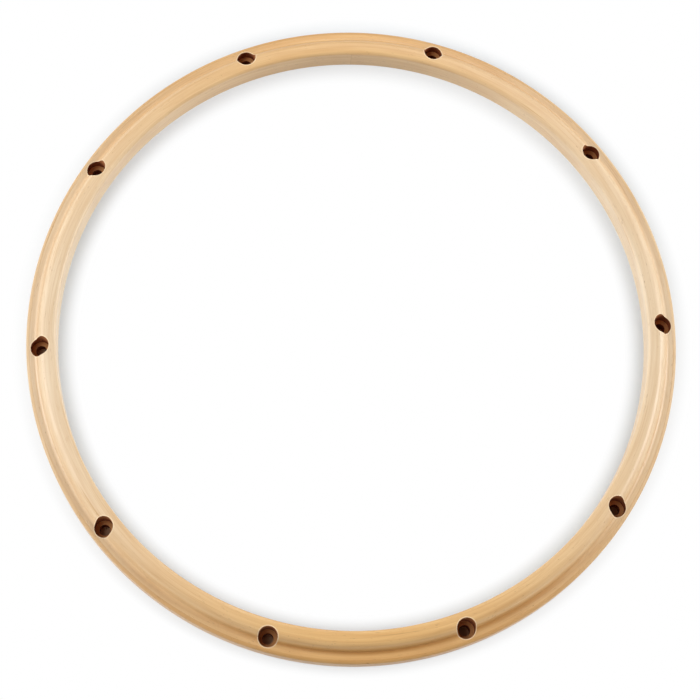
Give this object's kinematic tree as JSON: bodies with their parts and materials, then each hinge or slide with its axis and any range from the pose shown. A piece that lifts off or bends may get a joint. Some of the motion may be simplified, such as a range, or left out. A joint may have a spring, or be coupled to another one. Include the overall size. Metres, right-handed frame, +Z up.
{
  "type": "drum hoop",
  "caption": "Laminated wooden drum hoop: a raised round striking rim, a coved step down to an outer shelf, counterbored rod holes on the step and a recess for the drumhead.",
  "frame": {"origin": "middle of the hoop, on the plane of its bottom face", "axes": "+Z up along the hoop's axis, towards the striking rim; a rod hole lies on +Y and another on -Y"},
  "size_m": [0.3944, 0.3944, 0.0254],
  "materials": {
    "face_maple": "clear satin lacquer",
    "core_maple": "clear satin lacquer"
  },
  "bodies": {
    "root": {"lip_ply_inner": "face_maple", "lip_ply_outer": "core_maple", "recess_ply": "core_maple", "core_ply_a_segment_01": "core_maple", "core_ply_a_segment_02": "core_maple", "core_ply_a_segment_03": "core_maple", "core_ply_a_segment_04": "core_maple", "core_ply_a_segment_05": "core_maple", "core_ply_a_segment_06": "core_maple", "core_ply_a_segment_07": "core_maple", "core_ply_a_segment_08": "core_maple", "core_ply_a_segment_09": "core_maple", "core_ply_a_segment_10": "core_maple", "core_ply_b_segment_01": "core_maple", "core_ply_b_segment_02": "core_maple", "core_ply_b_segment_03": "core_maple", "core_ply_b_segment_04": "core_maple", "core_ply_b_segment_05": "core_maple", "core_ply_b_segment_06": "core_maple", "core_ply_b_segment_07": "core_maple", "core_ply_b_segment_08": "core_maple", "core_ply_b_segment_09": "core_maple", "core_ply_b_segment_10": "core_maple", "cove_ply": "core_maple", "shelf_ply": "core_maple", "outer_ply": "face_maple"}
  },
  "joints": []
}
